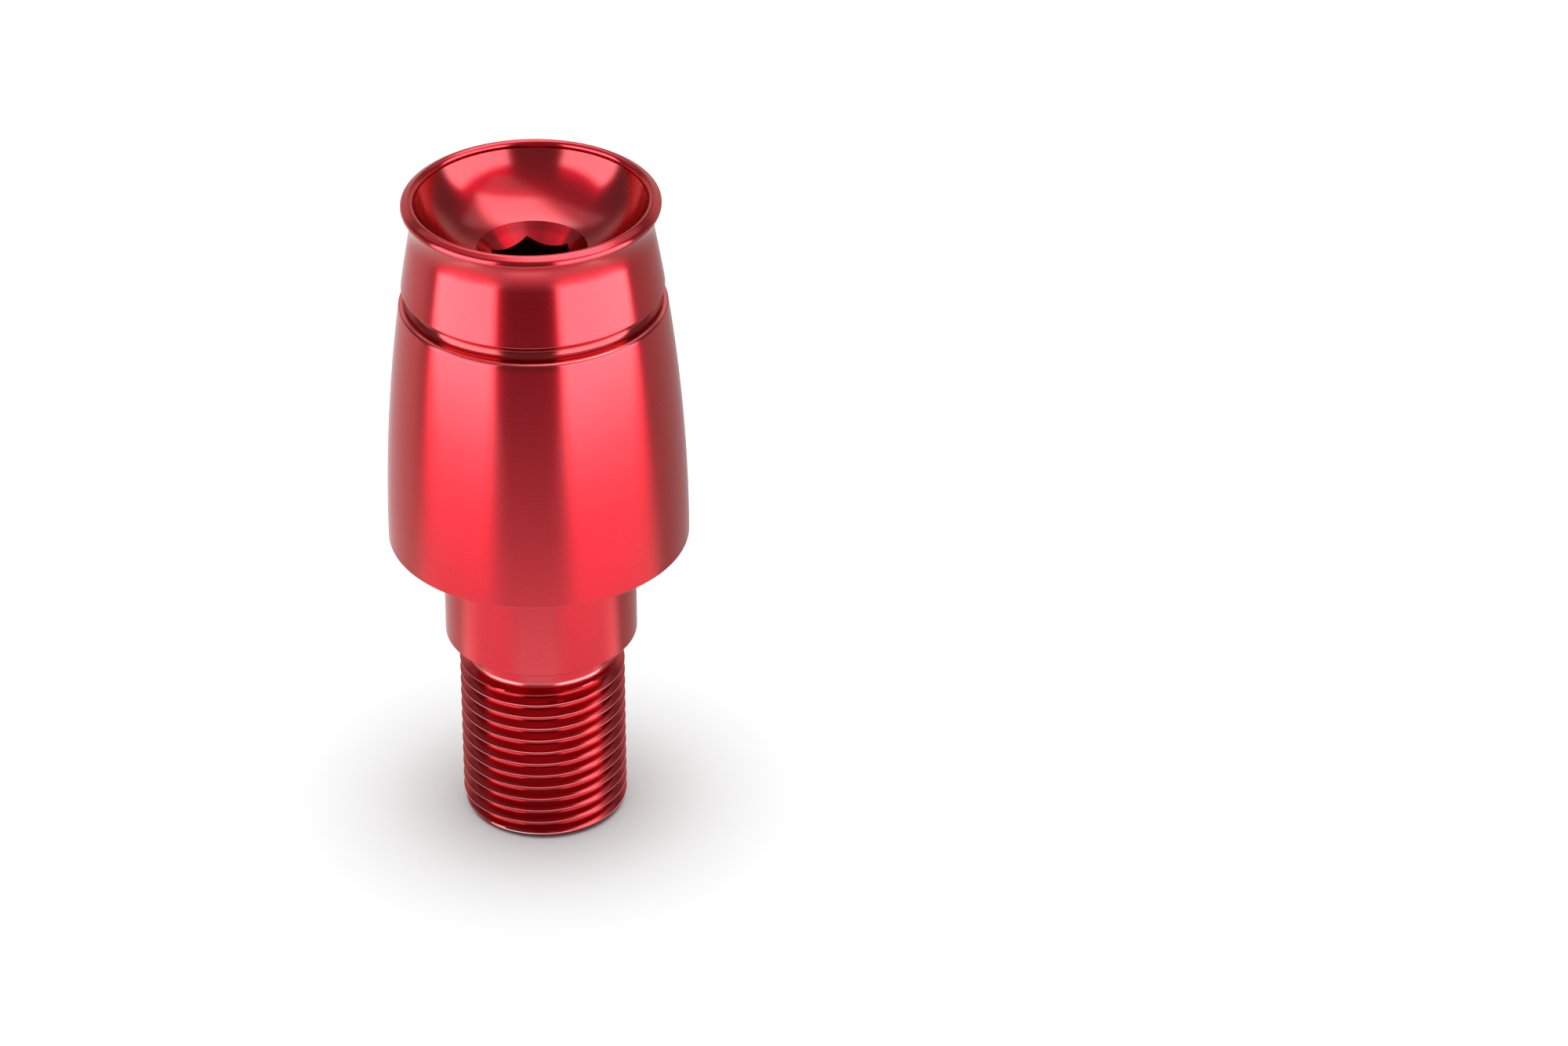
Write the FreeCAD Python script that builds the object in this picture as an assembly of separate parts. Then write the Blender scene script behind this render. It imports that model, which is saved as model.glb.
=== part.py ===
# Bar end weight for a motorbike handlebar, turned from one aluminium bar, in millimetres.
# It stands on its threaded tip: the origin is the middle of the tip's face and +Z runs
# up the axis, through the collar and the barrel-shaped body to the flared lip.

import FreeCAD, Part
import math
import os

# Threaded shank, M18 x 1.5, with the relief that lets the die run out
thread_diameter = 17.7
thread_length = 18.6
tip_chamfer = 0.8
relief_diameter = 15.8
relief_flank_angle = 60.0
relief_fillet = 0.4

# Collar that centres the part in the handlebar's bore
shank_length = 21.8
collar_diameter = 20.5
collar_length = 12.15
collar_edge = 0.2

# Barrel-shaped body
body_diameter = 31.9
body_length = 28.05
body_edge = 0.15
side_radius = 200.0

# Decorative groove with a round bottom
groove_width = 1.65
groove_depth = 1.2
shoulder_fillet = 0.5
cap_edge_fillet = 0.2

# Cap above the groove, drawn in to a neck and flared out to the rim
cap_length = 9.7
neck_radius = 4.5
flare_rise = 2.87

# Rounded lip
lip_width = 1.64
lip_face_angle = 29.0
lip_wall = 1.05
rim_fillet = 0.3
crest_fillet = 0.35

# Dish and the socket for an 8 mm hexagon key
dish_depth = 5.37
dish_radius = 8.6
countersink_diameter = 11.5
countersink_angle = 90.0
hex_across_flats = 8.0
socket_depth = 8.0
pilot_diameter = 7.8
pilot_depth = 9.5
drill_point_angle = 118.0
hex_turn = 39.0

# Rounds finer than this radius are drawn as chords, which stay this close to the true arc
fine_radius = 1.0
chord_error = 0.025


def rad(angle):
    return math.radians(angle)


def flat(radius, height):
    return FreeCAD.Base.Vector2d(radius, height)


def cross(a, b):
    return a.x * b.y - a.y * b.x


class Straight:
    """A straight piece of an outline."""

    def __init__(self, start, end):
        self.start, self.end = start, end

    def heading(self, place):
        run = self.end - self.start
        return run * (1 / run.length())

    def beside(self, side, gap):
        """The line beside this piece, on its left side for 1 and its right side for -1."""
        heading = self.heading(self.start)
        moved = self.start + flat(-heading.y, heading.x) * (side * gap)
        return Part.Geom2d.Line2d(moved, moved + heading)

    def nearest(self, place):
        heading = self.heading(place)
        reach = place - self.start
        return self.start + heading * (reach.x * heading.x + reach.y * heading.y)

    def edges(self):
        return [Part.LineSegment(upright(self.start), upright(self.end)).toShape()]


class Bow(Straight):
    """A round piece of an outline, the short way about its centre."""

    def __init__(self, start, end, centre):
        super().__init__(start, end)
        self.centre = centre
        self.radius = (start - centre).length()
        self.sense = math.copysign(1, cross(start - centre, end - centre))

    def heading(self, place):
        spoke = place - self.centre
        return flat(-spoke.y, spoke.x) * (self.sense / spoke.length())

    def beside(self, side, gap):
        return Part.Geom2d.Circle2d(self.centre, self.radius - side * self.sense * gap)

    def nearest(self, place):
        spoke = place - self.centre
        return self.centre + spoke * (self.radius / spoke.length())

    def edges(self):
        """One arc, or for a fine round the chords that stay within the chord error of it."""
        if self.radius > fine_radius:
            middle = upright(self.nearest((self.start + self.end) * 0.5))
            return [Part.Arc(upright(self.start), middle, upright(self.end)).toShape()]
        reach = (self.end - self.start).length() / 2
        sweep = 2 * math.asin(min(1, reach / self.radius))
        count = math.ceil(sweep / (2 * math.acos(1 - chord_error / self.radius)))
        spoke = self.start - self.centre
        places = []
        for step in range(count + 1):
            turn = self.sense * sweep * step / count
            cos, sin = math.cos(turn), math.sin(turn)
            turned = flat(spoke.x * cos - spoke.y * sin, spoke.x * sin + spoke.y * cos)
            places.append(upright(self.centre + turned))
        return [Part.LineSegment(*pair).toShape() for pair in zip(places, places[1:])]


class Outline:
    """A closed outline in the XZ plane, drawn piece by piece as (radius, height)."""

    def __init__(self, *start):
        self.start = self.here = flat(*start)
        self.pieces = []
        self.rounding = 0

    def line(self, *end):
        self.add(Straight(self.here, flat(*end)))

    def arc(self, centre, end):
        self.add(Bow(self.here, flat(*end), flat(*centre)))

    def round(self, radius):
        """Rounds the corner between the last piece and the next."""
        self.rounding = radius

    def add(self, piece):
        self.here = piece.end
        if self.rounding:
            self.fillet(self.pieces[-1], piece)
        self.pieces.append(piece)
        self.rounding = 0

    def fillet(self, before, after):
        corner = after.start
        turn = cross(before.heading(corner), after.heading(corner))
        side = math.copysign(1, turn)
        one = before.beside(side, self.rounding)
        other = after.beside(side, self.rounding)
        centres = one.intersectCC(other)
        centre = min(centres, key=lambda place: (place - corner).length())
        before.end = before.nearest(centre)
        after.start = after.nearest(centre)
        self.pieces.append(Bow(before.end, after.start, centre))

    def revolve(self):
        """The solid that this outline sweeps in a full turn about the Z axis."""
        self.add(Straight(self.here, self.start))
        edges = [edge for piece in self.pieces for edge in piece.edges()]
        face = Part.Face(Part.Wire(edges))
        return face.revolve(FreeCAD.Vector(0, 0, 0), FreeCAD.Vector(0, 0, 1), 360)


def upright(place):
    return FreeCAD.Vector(place.x, 0, place.y)


# Heights of the steps, added up from the tip
collar_z = shank_length
body_z = collar_z + collar_length
groove_z = body_z + body_length
cap_z = groove_z + groove_width
rim_z = cap_z + cap_length
neck_z = rim_z - flare_rise

thread_radius = thread_diameter / 2
relief_radius = relief_diameter / 2
relief_z = thread_length + (thread_radius - relief_radius) / math.tan(rad(relief_flank_angle))
collar_radius = collar_diameter / 2
body_radius = body_diameter / 2
countersink_radius = countersink_diameter / 2

# The side is one long arc, widest at the body's lower edge, with its middle on that level
side_centre = body_radius - side_radius


def side(height):
    """Radius of the barrel's side at a height."""
    return side_centre + math.sqrt(side_radius**2 - (height - body_z) ** 2)


# The neck's arc touches the side's arc from outside, so their centres lie this far apart
neck_centre = side_centre + math.sqrt((side_radius + neck_radius) ** 2 - (neck_z - body_z) ** 2)
touch = side_radius / (side_radius + neck_radius)
touch_radius = side_centre + (neck_centre - side_centre) * touch
touch_z = body_z + (neck_z - body_z) * touch
rim_radius = neck_centre - math.sqrt(neck_radius**2 - flare_rise**2)

mouth_radius = rim_radius - lip_width
crest_z = rim_z + lip_width * math.tan(rad(lip_face_angle))
dish_top_z = crest_z - lip_wall
dish_z = rim_z - dish_depth


def shank(outline):
    """Tip, threaded length at the crests' diameter, relief and collar."""
    outline.line(thread_radius - tip_chamfer, 0)
    outline.line(thread_radius, tip_chamfer)
    outline.line(thread_radius, thread_length)
    outline.line(relief_radius, relief_z)
    outline.round(relief_fillet)
    outline.line(relief_radius, collar_z)
    outline.round(relief_fillet)
    outline.line(collar_radius, collar_z)
    outline.round(collar_edge)
    outline.line(collar_radius, body_z)


def barrel(outline):
    """Body, round-bottomed groove and cap, along the one long arc of the side."""
    nose = groove_width / 2
    nose_z = groove_z + nose
    nose_centre = side(nose_z) - groove_depth + nose
    centre = side_centre, body_z
    outline.line(body_radius, body_z)
    outline.round(body_edge)
    outline.arc(centre, (side(groove_z), groove_z))
    outline.round(shoulder_fillet)
    outline.line(nose_centre, groove_z)
    outline.arc((nose_centre, nose_z), (nose_centre - nose, nose_z))
    outline.arc((nose_centre, nose_z), (nose_centre, cap_z))
    outline.line(side(cap_z), cap_z)
    outline.round(cap_edge_fillet)
    outline.arc(centre, (touch_radius, touch_z))


def lip(outline):
    """Neck flared out to the rim, the sloping face of the lip and its inner wall."""
    outline.arc((neck_centre, neck_z), (rim_radius, rim_z))
    outline.round(rim_fillet)
    outline.line(mouth_radius, crest_z)
    outline.round(crest_fillet)
    outline.line(mouth_radius, dish_top_z)


def dish(outline):
    """The bowl inside the lip, down to the flat that the socket is cut into."""
    run = mouth_radius - countersink_radius
    rise = dish_top_z - dish_z
    chord = math.hypot(run, rise)
    reach = math.sqrt(dish_radius**2 - chord**2 / 4)
    centre_radius = (mouth_radius + countersink_radius) / 2 - reach * rise / chord
    centre_z = (dish_top_z + dish_z) / 2 + reach * run / chord
    outline.arc((centre_radius, centre_z), (countersink_radius, dish_z))
    outline.line(0, dish_z)


def socket():
    """Countersink, hexagon and the drilled hole that the hexagon was broached from."""
    cone = Outline(0, dish_z)
    cone.line(countersink_radius, dish_z)
    cone.line(0, dish_z - countersink_radius / math.tan(rad(countersink_angle / 2)))

    pilot_radius = pilot_diameter / 2
    pilot_z = dish_z - pilot_depth
    pilot = Outline(0, dish_z)
    pilot.line(pilot_radius, dish_z)
    pilot.line(pilot_radius, pilot_z)
    pilot.line(0, pilot_z - pilot_radius / math.tan(rad(drill_point_angle / 2)))

    corner = hex_across_flats / 2 / math.cos(rad(30))
    floor = dish_z - socket_depth
    corners = []
    for step in range(7):
        turn = rad(hex_turn + 60 * step)
        corners.append(FreeCAD.Vector(corner * math.cos(turn), corner * math.sin(turn), floor))
    hexagon = Part.Face(Part.makePolygon(corners)).extrude(FreeCAD.Vector(0, 0, socket_depth))
    return [cone.revolve(), pilot.revolve(), hexagon]


def weight():
    outline = Outline(0, 0)
    for draw in (shank, barrel, lip, dish):
        draw(outline)
    return outline.revolve().cut(socket())


os.makedirs("parts", exist_ok=True)
solid = weight()
solid.exportStep("parts/bar_end_weight.step")
box = solid.optimalBoundingBox(False)
print("bar_end_weight:", len(solid.Solids), "solid, valid", solid.isValid())
print("height", round(box.ZMax, 3), "width", round(box.XLength, 3), "volume", round(solid.Volume, 1))
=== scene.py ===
import math
import bmesh
import bpy
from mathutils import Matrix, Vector


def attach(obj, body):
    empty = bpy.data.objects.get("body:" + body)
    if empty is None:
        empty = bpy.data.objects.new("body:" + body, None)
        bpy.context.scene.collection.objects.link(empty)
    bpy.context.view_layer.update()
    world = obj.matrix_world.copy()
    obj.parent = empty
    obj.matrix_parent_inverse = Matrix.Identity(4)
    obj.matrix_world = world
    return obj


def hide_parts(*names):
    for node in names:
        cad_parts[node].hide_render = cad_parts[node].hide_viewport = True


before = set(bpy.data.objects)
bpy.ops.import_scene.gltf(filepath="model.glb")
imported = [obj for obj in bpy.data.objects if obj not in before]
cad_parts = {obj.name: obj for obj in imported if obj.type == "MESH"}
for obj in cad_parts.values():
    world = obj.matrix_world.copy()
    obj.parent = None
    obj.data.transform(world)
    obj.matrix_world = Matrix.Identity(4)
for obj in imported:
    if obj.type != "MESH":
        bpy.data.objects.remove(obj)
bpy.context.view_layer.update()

print("frame loaded:", sorted(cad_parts))


# Node maths: a Wire is one output socket, and sums on it add Math nodes
class Wire:
    def __init__(self, nodes, socket):
        self.nodes = nodes
        self.socket = socket

    def __add__(self, other):
        return self.nodes.math("ADD", self, other)

    def __radd__(self, other):
        return self.nodes.math("ADD", other, self)

    def __sub__(self, other):
        return self.nodes.math("SUBTRACT", self, other)

    def __rsub__(self, other):
        return self.nodes.math("SUBTRACT", other, self)

    def __mul__(self, other):
        return self.nodes.math("MULTIPLY", self, other)

    def __rmul__(self, other):
        return self.nodes.math("MULTIPLY", other, self)

    def __truediv__(self, other):
        return self.nodes.math("DIVIDE", self, other)

    def __rtruediv__(self, other):
        return self.nodes.math("DIVIDE", other, self)

    # Another output of the same node
    def beside(self, output):
        return Wire(self.nodes, self.socket.node.outputs[output])


class Nodes:
    def __init__(self, tree):
        self.tree = tree
        tree.nodes.clear()

    def add(self, kind, sockets=None, out=0, **settings):
        made = self.tree.nodes.new(kind)
        for name, value in settings.items():
            setattr(made, name, value)
        for key, value in (sockets or {}).items():
            if isinstance(value, Wire):
                self.tree.links.new(value.socket, made.inputs[key])
            else:
                made.inputs[key].default_value = value
        return Wire(self, made.outputs[out]) if made.outputs else None

    def math(self, operation, *values):
        return self.add("ShaderNodeMath", dict(enumerate(values)), operation=operation)

    # The three parts of a vector
    def split(self, vector):
        made = self.add("ShaderNodeSeparateXYZ", {0: vector})
        return [made.beside(output) for output in range(3)]

    # 0 below low, 1 above high, with soft ends
    def rise(self, value, low, high):
        return self.add("ShaderNodeMapRange", {0: value, 1: low, 2: high},
                        interpolation_type="SMOOTHSTEP")

    # 1 between low and high, with edges this soft
    def band(self, value, low, high, soft):
        return (self.rise(value, low - soft, low + soft)
                * (1 - self.rise(value, high - soft, high + soft)))

    def mixColours(self, factor, first, second):
        return self.add("ShaderNodeMix", {0: factor, 6: first, 7: second}, out=2, data_type="RGBA")


# Turned section, all in mm: the CAD part's sizes, with the lip's two edges rounded more
weight = {
    "threadRadius": 8.85, "threadLength": 18.6, "tipChamfer": 0.8,
    "reliefRadius": 7.9, "reliefFlank": 60.0, "reliefRound": 0.4,
    "collarZ": 21.8, "collarRadius": 10.25, "collarRound": 0.2,
    "bodyZ": 33.95, "bodyRadius": 15.95, "bodyRound": 0.15, "sideRadius": 200.0,
    "grooveZ": 62.0, "grooveWidth": 1.65, "grooveDepth": 1.2,
    "shoulderRound": 0.5, "capRound": 0.2,
    "rimZ": 73.35, "neckRadius": 4.5, "flareRise": 2.87,
    "lipWidth": 1.64, "lipFace": 29.0, "lipWall": 1.05, "rimRound": 0.5, "crestRound": 0.5,
    "dishDepth": 5.37, "dishRadius": 8.6, "sinkRadius": 5.75,
    "hexFlat": 4.0, "hexTurn": 39.0, "socketDepth": 8.0,
    "pilotRadius": 3.9, "pilotDepth": 9.5, "drillPoint": 118.0,
}
# The winding's runOut is up the relief's flank, and its rows lie about a crest's middle
thread = {
    "pitch": 1.5, "depth": 0.92, "flank": 30.0, "start": 1.075, "runOut": 0.4,
    "crestFlat": 0.12, "crestBlend": 0.03, "rootBlend": 0.25,
    "rows": (-0.62, -0.42, -0.2, -0.075, -0.06, -0.045, 0.045, 0.06,
             0.075, 0.2, 0.42, 0.5, 0.56, 0.62, 0.68, 0.75),
    "columns": 240,
}
arcSteps = {"corner": 8, "side": 20, "nose": 8, "cap": 6, "neck": 8, "bowl": 24}
sharpAngle = 20.0
mm = 0.001  # in Blender's metres
w = weight


def tan(angle):
    return math.tan(math.radians(angle))


# Points of an arc from one place to another about a centre, the short way, without its first
def arcPoints(centre, start, end, steps):
    a = math.atan2(start[1] - centre[1], start[0] - centre[0])
    b = math.atan2(end[1] - centre[1], end[0] - centre[0])
    sweep = (b - a + math.pi) % (2 * math.pi) - math.pi
    radius = math.dist(centre, start)
    return [(centre[0] + radius * math.cos(a + sweep * i / steps),
             centre[1] + radius * math.sin(a + sweep * i / steps)) for i in range(1, steps + 1)]


# Rounds the corner b between a and c, with a guard row each side that keeps flats flat
def roundCorner(a, b, c, radius, guard=0.04):
    a, b, c = Vector(a), Vector(b), Vector(c)
    back, on = (a - b), (c - b)
    half = back.angle(on) / 2
    run = radius / math.tan(half)
    start, end = b + back.normalized() * run, b + on.normalized() * run
    centre = b + (back.normalized() + on.normalized()).normalized() * radius / math.sin(half)
    points = [tuple(start)] + arcPoints(centre, start, end, arcSteps["corner"])
    if back.length > run + 2 * guard:
        points.insert(0, tuple(start + back.normalized() * guard))
    if on.length > run + 2 * guard:
        points.append(tuple(end + on.normalized() * guard))
    return points


sideCentre = w["bodyRadius"] - w["sideRadius"], w["bodyZ"]


def sideRadiusAt(z):
    return sideCentre[0] + math.sqrt(w["sideRadius"] ** 2 - (z - w["bodyZ"]) ** 2)


# The section from the tip's middle round to the socket's floor, as (radius, z, marks)
def sectionRows():
    rows = []

    def put(points, **marks):
        rows.extend((r, z, marks) for r, z in points)

    def rounded(previous, corner, after, radius, **marks):
        put(roundCorner(previous, corner, after, radius), **marks)

    tipRadius = w["threadRadius"] - w["tipChamfer"]
    reliefZ = w["threadLength"] + (w["threadRadius"] - w["reliefRadius"]) / tan(w["reliefFlank"])
    windingTop = w["threadLength"] + thread["runOut"]
    topRadius = w["threadRadius"] - thread["runOut"] * tan(w["reliefFlank"])
    put([(0, 0)])
    put([(tipRadius, 0)], cut=1)
    turns = math.ceil(windingTop / thread["pitch"]) + 1
    for turn in range(-1, turns):
        put([(0, thread["start"] + thread["pitch"] * turn + row) for row in thread["rows"]],
            wound=1, cut=1)
    put([(topRadius, windingTop)], cut=1)

    relief = (w["reliefRadius"], reliefZ), (w["reliefRadius"], w["collarZ"])
    collarFoot = w["collarRadius"], w["collarZ"]
    collarTop = w["collarRadius"], w["bodyZ"]
    bodyFoot = w["bodyRadius"], w["bodyZ"]
    rounded((topRadius, windingTop), *relief, w["reliefRound"], cut=1)
    rounded(*relief, collarFoot, w["reliefRound"])
    rounded(relief[1], collarFoot, collarTop, w["collarRound"])
    put([collarTop])

    shoulder = sideRadiusAt(w["grooveZ"]), w["grooveZ"]
    capZ = w["grooveZ"] + w["grooveWidth"]
    capEdge = sideRadiusAt(capZ), capZ
    nose = w["grooveWidth"] / 2
    floor = sideRadiusAt(w["grooveZ"] + nose) - w["grooveDepth"]
    noseCentre = floor + nose, w["grooveZ"] + nose
    noseBottom = floor, noseCentre[1]
    side = [bodyFoot] + arcPoints(sideCentre, bodyFoot, shoulder, arcSteps["side"])
    rounded(collarTop, side[0], side[1], w["bodyRound"])
    put(side[1:-1])
    rounded(side[-2], shoulder, (floor, w["grooveZ"]), w["shoulderRound"])
    put(arcPoints(noseCentre, (noseCentre[0], w["grooveZ"]), noseBottom, arcSteps["nose"]))
    put(arcPoints(noseCentre, noseBottom, (noseCentre[0], capZ), arcSteps["nose"]))

    # Neck's arc lies outside the side's arc and touches it
    neckZ = w["rimZ"] - w["flareRise"]
    reach = w["sideRadius"] + w["neckRadius"]
    neckCentre = sideCentre[0] + math.sqrt(reach**2 - (neckZ - w["bodyZ"]) ** 2), neckZ
    share = w["sideRadius"] / reach
    touch = [sideCentre[i] + (neckCentre[i] - sideCentre[i]) * share for i in range(2)]
    rim = neckCentre[0] - math.sqrt(w["neckRadius"] ** 2 - w["flareRise"] ** 2), w["rimZ"]
    cap = [capEdge] + arcPoints(sideCentre, capEdge, touch, arcSteps["cap"])
    neck = arcPoints(neckCentre, touch, rim, arcSteps["neck"])
    rounded((noseCentre[0], capZ), cap[0], cap[1], w["capRound"])
    put(cap[1:])
    put(neck[:-1])

    crest = rim[0] - w["lipWidth"], w["rimZ"] + w["lipWidth"] * tan(w["lipFace"])
    mouth = crest[0], crest[1] - w["lipWall"]
    dishZ = w["rimZ"] - w["dishDepth"]
    rounded(neck[-2], rim, crest, w["rimRound"])
    rounded(rim, crest, mouth, w["crestRound"])
    put([mouth])

    # Bowl's centre stands off the middle of its chord
    sink = w["sinkRadius"], dishZ
    chord = Vector(sink) - Vector(mouth)
    middle = (Vector(sink) + Vector(mouth)) / 2
    off = math.sqrt(w["dishRadius"] ** 2 - chord.length_squared / 4)
    bowlCentre = middle + Vector((chord.y, -chord.x)).normalized() * off
    put(arcPoints(bowlCentre, mouth, sink, arcSteps["bowl"]))

    socketZ = dishZ - w["socketDepth"]
    pilotZ = dishZ - w["pilotDepth"]
    put([sink], hex=1, drop=1)
    put([(0, socketZ)], hex=1)
    put([(w["pilotRadius"], socketZ), (w["pilotRadius"], pilotZ),
         (0, pilotZ - w["pilotRadius"] / tan(w["drillPoint"] / 2))])
    return rows


# Turning: the section's rows are swung round the axis, and the wound rows climb with the turn
def buildTurning(turnedFinish, threadFinish):
    tree = bpy.data.node_groups.new("turnSection", "GeometryNodeTree")
    face = tree.interface
    face.new_socket("Section", in_out="INPUT", socket_type="NodeSocketGeometry")
    sizes = {}
    for name, kind, value in (("Columns", "Int", thread["columns"]),
                              ("Pitch", "Float", thread["pitch"]),
                              ("Start", "Float", thread["start"]),
                              ("Crest radius", "Float", w["threadRadius"]),
                              ("Thread depth", "Float", thread["depth"]),
                              ("Crest flat", "Float", thread["crestFlat"]),
                              ("Crest blend", "Float", thread["crestBlend"]),
                              ("Root blend", "Float", thread["rootBlend"]),
                              ("Thread length", "Float", w["threadLength"]),
                              ("Tip chamfer", "Float", w["tipChamfer"]),
                              ("Hexagon flat", "Float", w["hexFlat"]),
                              ("Hexagon turn", "Float", w["hexTurn"]),
                              ("Turned face", "Material", turnedFinish),
                              ("Thread face", "Material", threadFinish)):
        socket = face.new_socket(name, in_out="INPUT", socket_type="NodeSocket" + kind)
        sizes[socket.identifier] = value
    face.new_socket("Turned", in_out="OUTPUT", socket_type="NodeSocketGeometry")

    g = Nodes(tree)
    group = g.add("NodeGroupInput")
    entry = {size.name: group.beside(size.name) for size in group.socket.node.outputs if size.name}
    section = entry["Section"]
    rowCount = g.add("GeometryNodeAttributeDomainSize", {0: section}, component="MESH")
    sheet = g.add("GeometryNodeMeshGrid", {0: 1.0, 1: 1.0, 2: entry["Columns"] + 1, 3: rowCount})
    place = g.add("GeometryNodeInputPosition")
    turn, across = g.split(place)[:2]
    row = g.math("ROUND", (across + 0.5) * (rowCount - 1))

    def fromRow(value, kind="FLOAT"):
        return g.add("GeometryNodeSampleIndex", {"Geometry": section, "Value": value, "Index": row},
                     data_type=kind, domain="POINT")

    def mark(name):
        return fromRow(g.add("GeometryNodeInputNamedAttribute", {"Name": name}, data_type="FLOAT"))

    ownRadius, ownZ = g.split(fromRow(place, "FLOAT_VECTOR"))[::2]
    wound, cut, hexed, drop = mark("wound"), mark("cut"), mark("hex"), mark("drop")

    # Wound rows climb a pitch a turn, and stop at the tip's face and on the relief's flank
    top = entry["Thread length"] + thread["runOut"]
    climb = g.math("MINIMUM", g.math("MAXIMUM", ownZ + turn * entry["Pitch"], 0.0), top)
    z = ownZ + wound * (climb - ownZ)
    crest = entry["Crest radius"]
    tipCone = crest - entry["Tip chamfer"] + z
    flankCone = crest - (z - entry["Thread length"]) * tan(w["reliefFlank"])
    cover = g.math("MINIMUM", g.math("MINIMUM", tipCone, crest), flankCone)
    blank = ownRadius + wound * (cover - ownRadius)

    # Thread's own section, by the distance from the middle of the nearest crest
    fromCrest = z - turn * entry["Pitch"] - entry["Start"]
    away = g.math("ABSOLUTE", g.math("WRAP", fromCrest, entry["Pitch"] / 2, entry["Pitch"] * -0.5))
    flank = crest - (away - entry["Crest flat"] / 2) / tan(thread["flank"])
    tooth = g.math("SMOOTH_MIN", flank, crest, entry["Crest blend"])
    tooth = g.math("SMOOTH_MAX", tooth, crest - entry["Thread depth"], entry["Root blend"])
    threaded = g.math("MINIMUM", blank, tooth)
    radius = blank + cut * (threaded - blank)

    # Hexagon: the flats' distance over the cosine of the angle from the nearest flat's middle
    degrees = turn * 360 - entry["Hexagon turn"]
    fromFlat = g.math("WRAP", degrees - 30, 30.0, -30.0)
    hexRadius = entry["Hexagon flat"] / g.math("COSINE", g.math("RADIANS", fromFlat))
    z = z - drop * (ownRadius - hexRadius)
    radius = radius + hexed * (hexRadius - radius)

    angle = turn * (2 * math.pi)
    swung = g.add("ShaderNodeCombineXYZ", {0: radius * g.math("COSINE", angle) * mm,
                                           1: radius * g.math("SINE", angle) * mm,
                                           2: z * mm})
    turned = g.add("GeometryNodeSetPosition", {"Geometry": sheet, "Position": swung})
    turned = g.add("GeometryNodeMergeByDistance", {"Geometry": turned, "Distance": 0.002 * mm})
    turned = g.add("GeometryNodeSetShadeSmooth", {"Geometry": turned}, domain="FACE")
    bend = g.add("GeometryNodeInputMeshEdgeAngle")
    sharp = g.math("GREATER_THAN", bend, math.radians(sharpAngle))
    turned = g.add("GeometryNodeSetShadeSmooth",
                   {"Geometry": turned, "Selection": sharp, "Shade Smooth": False}, domain="EDGE")
    turned = g.add("GeometryNodeRealizeInstances", {0: turned})
    turned = g.add("GeometryNodeSetMaterial",
                   {"Geometry": turned, "Material": entry["Turned face"]})
    low = g.math("LESS_THAN", g.split(place)[2], top * mm)
    turned = g.add("GeometryNodeSetMaterial",
                   {"Geometry": turned, "Selection": low, "Material": entry["Thread face"]})
    g.add("NodeGroupOutput", {0: turned})
    return tree, sizes


# Satin anodised red: fine turning lines round the axis, and a little grain; also painted shade in
# the hollows and painted highlights on some edges
finish = {
    "red": (0.53, 0.005, 0.017, 1.0),
    "deepRed": (0.48, 0.003, 0.013, 1.0),
    # Painted shade: a darker red for the dish and the thread
    "hollowPaintedShade": (0.36, 0.002, 0.010, 1.0),
    # Painted shade in the groove's floor, a little paler for its painted highlight arcs
    "groovePaintedShadeAndHighlight": (0.36, 0.010, 0.015, 1.0),
    "edgeRed": (0.75, 0.15, 0.17, 1.0),
    # Painted shade: near black for the socket
    "socketPaintedShade": (0.03, 0.001, 0.002, 1.0),
    # Painted shade: the darkest red at the dish's mouth, next to the lip
    "mouthPaintedShade": (0.31, 0.001, 0.008, 1.0),
    # Paler edges: partly real wear, partly painted highlight
    "wearAndHighlightRed": (0.80, 0.16, 0.17, 1.0),
    "partlyWearAndHighlight": 0.7,
    "brushed": 0.85,
    "threadBrushed": 0.2,
    "roughness": 0.28,
    "threadRoughness": 0.20,
    "polished": 0.20,
    "unevenness": 0.06,
    "coat": 0.75,
    "coatRoughness": 0.13,
    "coatIor": 1.52,
    "lineDepth": 0.000008,
    "lineStrength": 0.22,
    "lineScale": 9.0,
    "lineSlant": 0.77,
    "cloudScale": 90.0,
    "grainScale": 2600.0,
    "shadeSpan": (0.30, 0.70),
}
# Where the finish, the painted shade and the painted highlights change, in mm: limits of heights
# and radii, and the softness of a band
zones = {
    "dish": (67.0, 67.5), "dishRadius": (12.04, 12.12), "mouthRadius": (11.2, 12.0),
    "threadTop": (18.4, 19.0), "crestTop": (18.2, 18.6), "crestDepth": 0.02,
    "groove": (61.9, 63.75, 0.15), "grooveRadius": (13.4, 13.9),
    "shoulder": (61.86, 62.05, 0.05), "shoulderRadius": (13.48, 13.58),
    "collarFoot": (21.83, 21.92, 0.03), "collarFootRadius": (10.12, 10.4, 0.05),
    "bodyFoot": (33.96, 34.04, 0.03), "bodyFootRadius": (15.8, 15.9),
    "relief": (19.0, 19.4, 0.06), "reliefRadius": (8.1, 8.3),
    "socket": (50.0, 51.0), "socketRadius": (4.8, 5.0), "belowCone": (0.16, 0.06),
    "polishedGroove": (61.2, 63.9, 0.3), "polishedLip": (73.1, 73.4),
}


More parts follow.
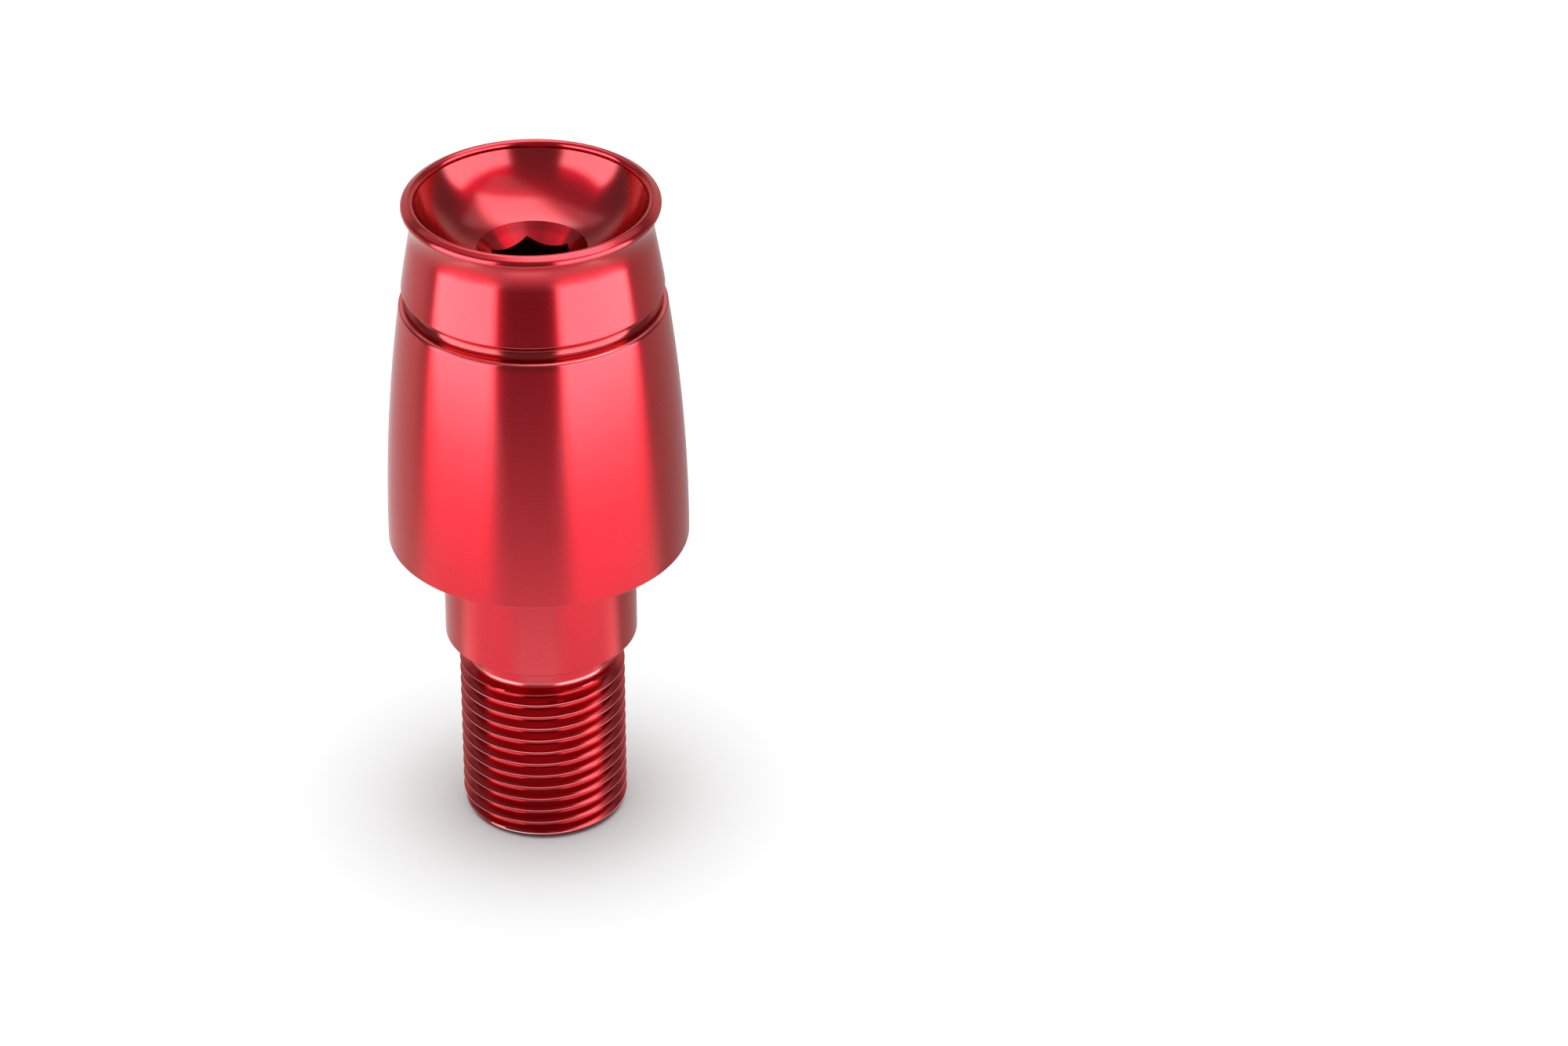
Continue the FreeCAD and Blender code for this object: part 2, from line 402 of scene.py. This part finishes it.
def makeAnodised(name, brushed, satin):
    material = bpy.data.materials.new(name)
    material.use_nodes = True
    n = Nodes(material.node_tree)
    place = n.add("ShaderNodeTexCoord", out=3)
    x, y, height = (part * (1 / mm) for part in n.split(place))
    radius = n.math("SQRT", x * x + y * y)
    # Along the section, so that the lines circle on walls, faces and cones alike
    along = height + radius * finish["lineSlant"]
    lines = n.add("ShaderNodeTexNoise", {"W": along, "Scale": finish["lineScale"], "Detail": 3.0},
                  noise_dimensions="1D")
    cloud, grain = (n.add("ShaderNodeTexNoise", {"Vector": place, "Scale": scale, "Detail": detail})
                    for scale, detail in ((finish["cloudScale"], 3.0), (finish["grainScale"], 1.0)))
    shade = n.rise(lines * 0.4 + cloud * 0.4 + grain * 0.2, *finish["shadeSpan"])
    colour = n.mixColours(shade, finish["deepRed"], finish["red"])
    # Painted shade: darker reds stand for the shade in the dish, the groove, the thread and the
    # dish's mouth; the groove's red is a little paler, for its painted highlight arcs
    dish = (1 - n.rise(radius, *zones["dishRadius"])) * n.rise(height, *zones["dish"])
    wound = 1 - n.rise(height, *zones["threadTop"])
    floor = n.band(height, *zones["groove"]) * (1 - n.rise(radius, *zones["grooveRadius"]))
    mouth = dish * n.rise(radius, *zones["mouthRadius"])
    colour = n.mixColours(n.math("MAXIMUM", dish, wound), colour, finish["hollowPaintedShade"])
    colour = n.mixColours(floor, colour, finish["groovePaintedShadeAndHighlight"])
    colour = n.mixColours(mouth, colour, finish["mouthPaintedShade"])
    # Paler edges, partly real wear and partly painted highlight: the thread's crests and the
    # shoulder, and less so the feet; the relief's top is painted highlight only
    crest = n.rise(radius, w["threadRadius"] - zones["crestDepth"], w["threadRadius"])
    crest = crest * (1 - n.rise(height, *zones["crestTop"]))
    shoulder = n.band(height, *zones["shoulder"]) * n.rise(radius, *zones["shoulderRadius"])
    feet = n.math("MAXIMUM", n.band(height, *zones["collarFoot"]),
                  n.band(height, *zones["bodyFoot"]))
    feet = feet * n.math("MAXIMUM", n.band(radius, *zones["collarFootRadius"]),
                         n.rise(radius, *zones["bodyFootRadius"]))
    reliefPaintedHighlight = n.band(height, *zones["relief"]) * (1 - n.rise(radius, *zones["reliefRadius"]))
    edgeWearAndHighlight = n.math("MAXIMUM", n.math("MAXIMUM", crest, shoulder),
                  n.math("MAXIMUM", feet, reliefPaintedHighlight) * finish["partlyWearAndHighlight"])
    colour = n.mixColours(edgeWearAndHighlight, colour, finish["wearAndHighlightRed"])
    # Painted shade: little light comes back out of the socket, below the countersink's cone, so it
    # is near black there and has no coat
    cone = w["rimZ"] - w["dishDepth"] - w["sinkRadius"]
    low, high = (cone - depth for depth in zones["belowCone"])
    sunk = (1 - n.rise(radius, *zones["socketRadius"])) * n.rise(height, *zones["socket"])
    sunk = sunk * (1 - n.rise(height - radius, low, high))
    colour = n.mixColours(sunk, colour, finish["socketPaintedShade"])
    bright = n.math("MAXIMUM", n.band(height, *zones["polishedGroove"]),
                    n.rise(height, *zones["polishedLip"]))
    uneven = finish["unevenness"]
    roughness = satin + lines * uneven - uneven / 2 + cloud * uneven - uneven / 2
    roughness = roughness + bright * (finish["polished"] - satin)
    relief = n.add("ShaderNodeBump", {
        "Height": lines * 0.7 + grain * 0.3, "Strength": finish["lineStrength"] * brushed,
        "Distance": finish["lineDepth"]})
    skin = n.add("ShaderNodeBsdfPrincipled", {
        "Base Color": colour, "Roughness": roughness, "Normal": relief, "Metallic": 1.0,
        "Anisotropic": brushed, "Anisotropic Rotation": 0.25,
        "Specular Tint": finish["edgeRed"], "Coat Weight": (1 - sunk) * finish["coat"],
        "Coat Roughness": finish["coatRoughness"], "Coat IOR": finish["coatIor"]})
    n.add("ShaderNodeOutputMaterial", {0: skin})
    return material


def makeWeight(turnedFinish, threadFinish):
    rows = sectionRows()
    mesh = bpy.data.meshes.new("section")
    mesh.from_pydata([(r, 0, z) for r, z, marks in rows], [], [])
    for name in ("wound", "cut", "hex", "drop"):
        layer = mesh.attributes.new(name, "FLOAT", "POINT")
        layer.data.foreach_set("value", [marks.get(name, 0) for r, z, marks in rows])
    piece = bpy.data.objects.new("turnedWeight", mesh)
    bpy.context.scene.collection.objects.link(piece)
    tree, sizes = buildTurning(turnedFinish, threadFinish)
    turning = piece.modifiers.new("turning", "NODES")
    turning.node_group = tree
    for identifier, value in sizes.items():
        turning[identifier] = value
    whole = piece.evaluated_get(bpy.context.evaluated_depsgraph_get())
    turned = bpy.data.meshes.new_from_object(whole)
    piece.modifiers.remove(turning)
    piece.data = turned
    turned.name = "turnedWeight"
    bpy.data.meshes.remove(mesh)
    return piece


def checkClosed(piece):
    shape = bmesh.new()
    shape.from_mesh(piece.data)
    openEdges = sum(not edge.is_manifold for edge in shape.edges)
    print(piece.name, len(shape.faces), "faces,", openEdges, "open edges, volume",
          round(shape.calc_volume(signed=True) * 1e9), "mm3")
    shape.free()


turnedWeight = makeWeight(
    makeAnodised("turnedRed", finish["brushed"], finish["roughness"]),
    makeAnodised("threadRed", finish["threadBrushed"], finish["threadRoughness"]))
checkClosed(turnedWeight)
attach(turnedWeight, "root")
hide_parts("bar_end_weight")
print("weight turned")


# Table: white, with the soft shadow, and the studio that the metal mirrors in it.
# Lengths are in metres from the axis, azimuths in degrees from the side of the table that
# faces -Y, positive to +X, and the light in the gap is a base and a slope by nearness
table = {
    "size": 6.0,
    "top": -0.00002,  # just clear of the tip's face
    "white": (0.925, 0.95, 0.95, 1.0),
    "foot": (0.0090, 0.0105),
    "contact": (0.018, 0.045),
    "horizon": (0.09, 0.24),
    "nearest": 0.04,
    "behind": (86.0, 106.0),
    "panelSoftness": (15.0, 4.0),
    "panelNarrowing": (1.10, 1.0),
    "footLight": 1.3,
    "contactLight": 0.70,
    "panelLight": 1.12,
    "horizonLight": 5.5,
    "gapLight": (-0.10, 0.090),
    "leastLight": 0.15,
    "leftLight": 0.94,
    "rightLight": 0.60,
}
# The overhead fill and sheet have their edges in plan, at height 1
studio = {
    "leftPanel": (-88, -30),
    "rightPanel": (24, 92),
    "panelTop": (0.50, 0.66),
    "panelSoftness": 4.0,
    "panelLight": 5.6,
    "behind": (0.50, 0.75),
    "behindTop": (0.40, 0.60),
    "behindLight": 0.80,
    "fillLeft": (-0.42, -0.06),
    "fillRight": (0.65, 0.90),
    "fillBack": (-0.70, 0.95, 0.12),
    "fillLight": 1.04,
    "sheetLeft": (-0.26, 0.06),
    "sheetRight": (0.50, 0.76),
    "sheetBack": (-0.05, 0.97, 0.10),
    "sheetLight": 4.5,
    "roomLight": 0.29,
    "sky": 0.112,
    "zenith": 5.6,
}


# From a first value to a second by a factor
def blend(factor, first, second):
    return first + factor * (second - first)


# Camera rays, and mirror rays that no diffuse surface has bounced
def rayMasks(n):
    path = n.add("ShaderNodeLightPath")
    bounced = n.math("MINIMUM", path.beside("Diffuse Depth"), 1.0)
    return path.beside("Is Camera Ray"), path.beside("Is Glossy Ray") * (1 - bounced)


# 1 in the directions of the two light panels, from a place or direction's x and y
def panelMask(n, x, y, soft, narrow=1.0):
    azimuth = n.math("ARCTAN2", x, y * -1.0) * math.degrees(1)
    left = n.band(azimuth * narrow, *studio["leftPanel"], soft)
    right = n.band(azimuth * narrow, *studio["rightPanel"], soft)
    return left + right, azimuth


def makeTable():
    material = bpy.data.materials.new("paleTable")
    material.use_nodes = True
    n = Nodes(material.node_tree)
    x, y = n.split(n.add("ShaderNodeTexCoord", out=3))[:2]
    distance = n.math("SQRT", x * x + y * y)
    horizon = n.rise(distance, *table["horizon"])
    # Narrower and softer close to the part
    panels, azimuth = panelMask(n, x, y, blend(horizon, *table["panelSoftness"]),
                                blend(horizon, *table["panelNarrowing"]))
    # Between the panels the light falls off with distance, and behind it goes by side
    near = 1 / n.math("MAXIMUM", distance, table["nearest"])
    base, slope = table["gapLight"]
    dark = n.math("MAXIMUM", near * slope + base, table["leastLight"])
    behind = blend(n.rise(x * near, -0.5, 0.5), table["leftLight"], table["rightLight"])
    dark = blend(n.rise(n.math("ABSOLUTE", azimuth), *table["behind"]), dark, behind)
    lit = blend(horizon, table["panelLight"], table["horizonLight"])
    beyond = blend(panels, dark, lit)
    # Darker close to the part: painted shadow in the table as the metal mirrors it
    mirrored = blend(n.rise(distance, *table["contact"]), table["contactLight"], beyond)
    # Pale right at the foot, which the tip's chamfer mirrors
    mirrored = blend(n.rise(distance, *table["foot"]), table["footLight"], mirrored)
    glossy = rayMasks(n)[1]
    seen = n.add("ShaderNodeBsdfDiffuse", {"Color": table["white"]})
    shine = n.add("ShaderNodeEmission", {"Color": mirrored})
    whole = n.add("ShaderNodeMixShader", {0: glossy, 1: seen, 2: shine})
    n.add("ShaderNodeOutputMaterial", {0: whole})

    half, top = table["size"] / 2, table["top"]
    mesh = bpy.data.meshes.new("table")
    mesh.from_pydata([(-half, -half, top), (half, -half, top), (half, half, top),
                      (-half, half, top)], [], [(0, 1, 2, 3)])
    mesh.materials.append(material)
    sheet = bpy.data.objects.new("table", mesh)
    bpy.context.scene.collection.objects.link(sheet)


def makeWorld():
    world = bpy.data.worlds.new("studio")
    bpy.context.scene.world = world
    world.use_nodes = True
    n = Nodes(world.node_tree)
    x, y, up = n.split(n.add("ShaderNodeTexCoord"))
    panels = panelMask(n, x, y, studio["panelSoftness"])[0]
    panels = panels * (1 - n.rise(up, *studio["panelTop"]))
    low = n.rise(y, *studio["behind"]) * (1 - n.rise(up, *studio["behindTop"]))
    room = blend(low, studio["roomLight"], studio["behindLight"])
    room = blend(panels, room, studio["panelLight"])
    # The overhead light is a slanted sheet, with a dim fill round it
    above = n.math("MAXIMUM", up, 0.3)
    across, back = x / above, y / above
    fill = (n.rise(across + back * 0.85, *studio["fillLeft"])
            * (1 - n.rise(across, *studio["fillRight"])) * n.band(back, *studio["fillBack"]))
    room = blend(fill, room, studio["fillLight"])
    sheet = (n.band(back, *studio["sheetBack"])
             * (1 - n.rise(across * 0.8 + back * 0.59, *studio["sheetRight"]))
             * n.rise(across + back * 0.28, *studio["sheetLeft"]))
    room = blend(sheet, room, studio["sheetLight"])
    # White to the camera, the room to the metal, and a plain sky, brightest overhead, to the rest
    camera, glossy = rayMasks(n)
    sky = studio["sky"] + n.math("POWER", n.math("MAXIMUM", up, 0.0), 8.0) * studio["zenith"]
    light = blend(glossy, sky, room) + camera * (1 - sky)
    n.add("ShaderNodeOutputWorld", {0: n.add("ShaderNodeBackground", {"Color": light})})


makeTable()
makeWorld()
print("studio lit")


camera = bpy.data.cameras.new("camera")
camera.lens = 136.47
camera.sensor_width = 36
camera.clip_start = 0.01
viewpoint = bpy.data.objects.new("camera", camera)
viewpoint.location = (0.025987, -0.537024, 0.364999)
viewpoint.rotation_euler = (math.radians(58.40), 0, 0)
bpy.context.scene.collection.objects.link(viewpoint)
bpy.context.scene.camera = viewpoint
bpy.context.scene.view_settings.view_transform = "Standard"
